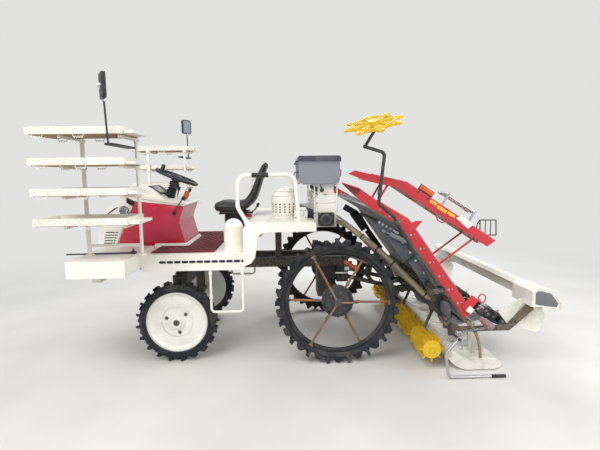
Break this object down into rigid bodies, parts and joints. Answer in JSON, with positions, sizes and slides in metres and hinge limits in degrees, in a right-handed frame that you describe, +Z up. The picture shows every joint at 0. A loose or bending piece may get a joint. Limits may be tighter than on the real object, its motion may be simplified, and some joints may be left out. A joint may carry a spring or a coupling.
{
  "type": "riding rice transplanter",
  "caption": "Riding rice transplanter with seedling racks, a sliding seedling stage, rotary planting arms, a levelling rotor, line markers and a granule spreader",
  "frame": {"origin": "on the floor, under the middle of the whole machine's bounding box", "axes": "+X to the rear, +Y to the machine's right, +Z up"},
  "size_m": [3.48, 2.3316, 2.035],
  "materials": {
    "cream_paint": "satin",
    "cream_plastic": "semi-gloss",
    "red_plastic": "gloss",
    "red_paint": "satin, worn",
    "black_paint": "satin, dusty",
    "dark_cast": "rough",
    "silver_cast": "matt cast",
    "bright_steel": "bright",
    "rubber": "matt, dusty",
    "black_plastic": "grained",
    "mat_rubber": "ribbed, matt",
    "grey_plastic": "grained",
    "smoked_plastic": "translucent",
    "seat_vinyl": "grained",
    "yellow_plastic": "matt",
    "tan_hose": "corrugated, translucent",
    "lamp_glass": "clear"
  },
  "bodies": {
    "chassis": {"frame": "black_paint", "top_link_bracket": "black_paint", "front_axle": "dark_cast", "rear_axle": "dark_cast", "engine": "dark_cast", "platform": "cream_plastic", "floor_mat": "mat_rubber", "rear_deck": "cream_plastic", "side_cowls": "cream_plastic", "console": "red_plastic", "console_top": "cream_plastic", "steering_column": "black_plastic", "front_steps": "cream_plastic", "rack_posts": "cream_paint", "rack_shelves": "cream_paint", "mirrors": "black_plastic", "seat": "seat_vinyl", "seat_base": "black_paint", "handrails": "cream_paint", "blower_cover": "cream_plastic", "hopper": "smoked_plastic", "metering_case": "cream_plastic", "air_duct": "black_plastic", "side_steps": "cream_paint", "hoses": "tan_hose"},
    "steering_wheel_body": {"steering_wheel": "black_plastic"},
    "knuckle_l": {"knuckle_left": "dark_cast"},
    "knuckle_r": {"knuckle_right": "dark_cast"},
    "front_left": {"front_wheel_left": "rubber"},
    "front_right": {"front_wheel_right": "rubber"},
    "rear_left": {"rear_wheel_left": "rubber"},
    "rear_right": {"rear_wheel_right": "rubber"},
    "bonnet_body": {"bonnet": "cream_plastic", "headlamps": "lamp_glass"},
    "hopper_lid_body": {"hopper_lid": "smoked_plastic"},
    "lower_link_body": {"lower_links": "black_paint"},
    "top_link_body": {"top_link": "black_paint"},
    "planting_body": {"planting_frame": "black_paint", "planting_cases": "silver_cast", "guide_rail": "black_paint", "floats": "cream_plastic", "rear_covers": "cream_plastic", "leveller_arms": "black_paint"},
    "leveller_body": {"leveller": "yellow_plastic"},
    "rotary_left_body": {"rotary_left": "silver_cast"},
    "rotary_middle_body": {"rotary_middle": "silver_cast"},
    "rotary_right_body": {"rotary_right": "silver_cast"},
    "stage_body": {"stage_panel": "grey_plastic", "stage_rails": "red_plastic", "side_stage": "red_plastic", "press_rods": "bright_steel"},
    "marker_left_body": {"marker_arm_left": "black_paint"},
    "marker_disc_left": {"marker_wheel_left": "yellow_plastic"},
    "stand_left_body": {"stand_left": "bright_steel"},
    "stand_right_body": {"stand_right": "bright_steel"},
    "ram_body": {"lift_cylinder": "black_paint"},
    "ram_rod_body": {"lift_rod": "bright_steel"}
  },
  "joints": [
    {"name": "steering_turn", "type": "hinge", "parent": "chassis", "child": "steering_wheel_body", "pos_m": [-1.092, 0, 1.414], "axis": [0.3811, 0, 0.9245], "range_deg": [-400, 400]},
    {"name": "steer_left", "type": "hinge", "parent": "chassis", "child": "knuckle_l", "pos_m": [-1.005, -0.4, 0.31], "axis": [0, 0, 1], "range_deg": [-40, 40]},
    {"name": "steer_right", "type": "hinge", "parent": "chassis", "child": "knuckle_r", "pos_m": [-1.005, 0.4, 0.31], "axis": [0, 0, 1], "range_deg": [-40, 40]},
    {"name": "front_left_spin", "type": "hinge", "parent": "knuckle_l", "child": "front_left", "pos_m": [-1.005, -0.525, 0.31], "axis": [0, 1, 0], "continuous": true},
    {"name": "front_right_spin", "type": "hinge", "parent": "knuckle_r", "child": "front_right", "pos_m": [-1.005, 0.525, 0.31], "axis": [0, 1, 0], "continuous": true},
    {"name": "rear_left_spin", "type": "hinge", "parent": "chassis", "child": "rear_left", "pos_m": [0.22, -0.64, 0.47], "axis": [0, 1, 0], "continuous": true},
    {"name": "rear_right_spin", "type": "hinge", "parent": "chassis", "child": "rear_right", "pos_m": [0.22, 0.64, 0.47], "axis": [0, 1, 0], "continuous": true},
    {"name": "bonnet_tip", "type": "hinge", "parent": "chassis", "child": "bonnet_body", "pos_m": [-1.722, 0, 0.818], "axis": [0, -1, 0], "range_deg": [0, 50]},
    {"name": "hopper_lid_hinge", "type": "hinge", "parent": "chassis", "child": "hopper_lid_body", "pos_m": [-0.064, 0, 1.522], "axis": [0, -1, 0], "range_deg": [0, 90]},
    {"name": "lift", "type": "hinge", "parent": "chassis", "child": "lower_link_body", "pos_m": [0.33, 0, 0.56], "axis": [0, -1, 0], "range_deg": [0, 48], "deforming": ["hoses"]},
    {"name": "top_link_swing", "type": "hinge", "parent": "chassis", "child": "top_link_body", "pos_m": [0.39, 0, 0.71], "axis": [0, -1, 0], "range_deg": [0, 48]},
    {"name": "section_level", "type": "hinge", "parent": "lower_link_body", "child": "planting_body", "pos_m": [0.83031, 0, 0.42968], "axis": [0, -1, 0], "range_deg": [-48, 0]},
    {"name": "leveller_spin", "type": "hinge", "parent": "planting_body", "child": "leveller_body", "pos_m": [0.87, 0, 0.165], "axis": [0, 1, 0], "continuous": true},
    {"name": "rotary_left_spin", "type": "hinge", "parent": "planting_body", "child": "rotary_left_body", "pos_m": [1.37, -0.6, 0.35], "axis": [0, 1, 0], "continuous": true},
    {"name": "rotary_middle_spin", "type": "hinge", "parent": "planting_body", "child": "rotary_middle_body", "pos_m": [1.37, 0, 0.35], "axis": [0, 1, 0], "continuous": true},
    {"name": "rotary_right_spin", "type": "hinge", "parent": "planting_body", "child": "rotary_right_body", "pos_m": [1.37, 0.6, 0.35], "axis": [0, 1, 0], "continuous": true},
    {"name": "stage_slide", "type": "slide", "parent": "planting_body", "child": "stage_body", "axis": [0, 1, 0], "range_m": [-0.12, 0.12]},
    {"name": "marker_left_fold", "type": "hinge", "parent": "planting_body", "child": "marker_left_body", "pos_m": [0.835, -1.03, 0.64], "axis": [1, 0, 0], "range_deg": [0, 115]},
    {"name": "marker_left_spin", "type": "hinge", "parent": "marker_left_body", "child": "marker_disc_left", "pos_m": [0.417, -0.97, 1.739], "axis": [-0.2273, -0.342, 0.9118], "continuous": true},
    {"name": "stand_left_fold", "type": "hinge", "parent": "planting_body", "child": "stand_left_body", "pos_m": [1.012, -0.985, 0.285], "axis": [0, -1, 0], "range_deg": [0, 60]},
    {"name": "stand_right_fold", "type": "hinge", "parent": "planting_body", "child": "stand_right_body", "pos_m": [1.012, 0.985, 0.285], "axis": [0, -1, 0], "range_deg": [0, 60]},
    {"name": "ram_tilt", "type": "hinge", "parent": "chassis", "child": "ram_body", "pos_m": [0.11, 0.08, 0.8], "axis": [0, -1, 0], "range_deg": [0, 21]},
    {"name": "ram_stroke", "type": "slide", "parent": "ram_body", "child": "ram_rod_body", "axis": [-0.9288, 0, 0.3707], "range_m": [0, 0.156]}
  ],
  "couplings": [
    {"joint": "steer_left", "follows": "steering_turn", "ratio": 0.1},
    {"joint": "steer_right", "follows": "steering_turn", "ratio": 0.1},
    {"joint": "top_link_swing", "follows": "lift", "ratio": 1},
    {"joint": "section_level", "follows": "lift", "ratio": -1},
    {"joint": "ram_tilt", "follows": "lift", "ratio": 0.4346},
    {"joint": "ram_stroke", "follows": "lift", "m_per_rad": 0.1839}
  ]
}
